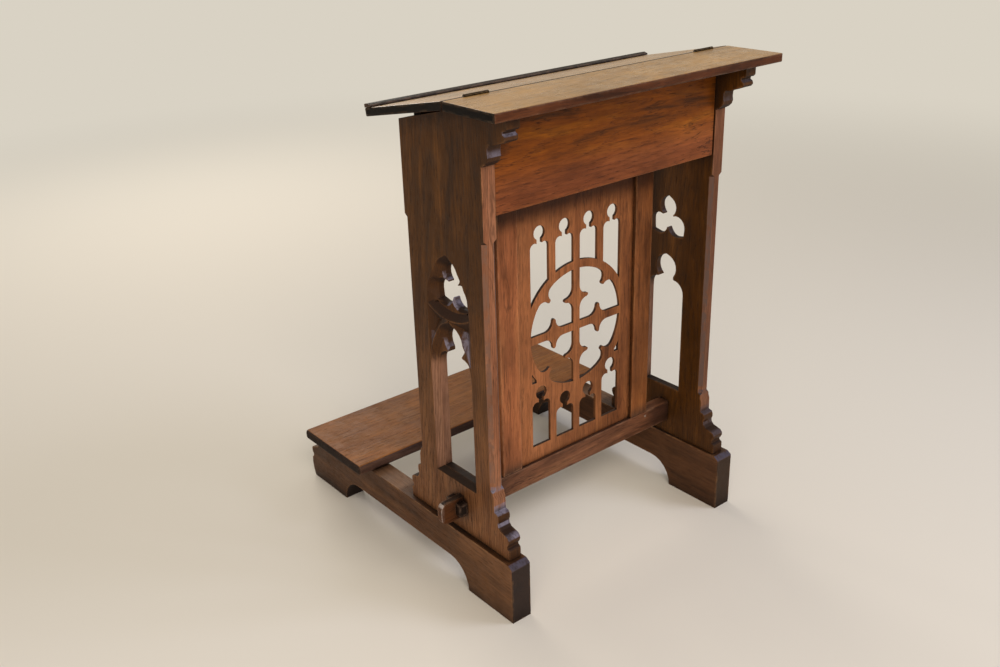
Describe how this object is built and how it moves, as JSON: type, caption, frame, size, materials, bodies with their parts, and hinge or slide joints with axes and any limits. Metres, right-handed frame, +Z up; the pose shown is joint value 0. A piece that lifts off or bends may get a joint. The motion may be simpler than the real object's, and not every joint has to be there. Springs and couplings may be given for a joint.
{
  "type": "prayer lectern",
  "caption": "Gothic oak prayer lectern with a pierced tracery front, pierced side boards on sledge rails, a hinged desk lid over a book well, and a kneeler plank.",
  "frame": {"origin": "on the floor, midway between the side boards and midway between the front edge of the fixed top and the rear ends of the base rails", "axes": "+X to the right seen from the traceried front, +Y from the front to the kneeler, +Z up"},
  "size_m": [0.618, 0.6582, 0.8526],
  "materials": {
    "rail_oak": "satin waxed oak, dark brown",
    "board_oak": "satin waxed oak, dark brown",
    "panel_oak": "satin waxed oak, red brown",
    "apron_oak": "satin waxed oak, warm orange brown",
    "top_oak": "polished oak, worn to a sheen",
    "kneeler_oak": "worn oak, waxed",
    "wedge_oak": "dark waxed oak",
    "hinge_brass": "tarnished brass",
    "pin_steel": "dull steel"
  },
  "bodies": {
    "stand": {"base_rail_left": "rail_oak", "base_rail_right": "rail_oak", "side_board_left": "board_oak", "side_board_right": "board_oak", "stretcher": "panel_oak", "wedge_left": "wedge_oak", "wedge_right": "wedge_oak", "stile_left": "panel_oak", "stile_right": "panel_oak", "tracery_panel": "panel_oak", "apron": "apron_oak", "well_bottom": "board_oak", "well_back": "board_oak", "top_board": "top_oak", "hinge_leaf_fixed_left": "hinge_brass", "hinge_leaf_fixed_right": "hinge_brass", "hinge_pin_left": "pin_steel", "hinge_pin_right": "pin_steel", "kneeler": "kneeler_oak"},
    "lid": {"lid": "top_oak", "book_stop": "wedge_oak", "hinge_leaf_lid_left": "hinge_brass", "hinge_leaf_lid_right": "hinge_brass"}
  },
  "joints": [
    {"name": "lid_hinge", "type": "hinge", "parent": "stand", "child": "lid", "pos_m": [0, -0.2152, 0.8498], "axis": [1, 0, 0], "range_deg": [0, 190]}
  ]
}
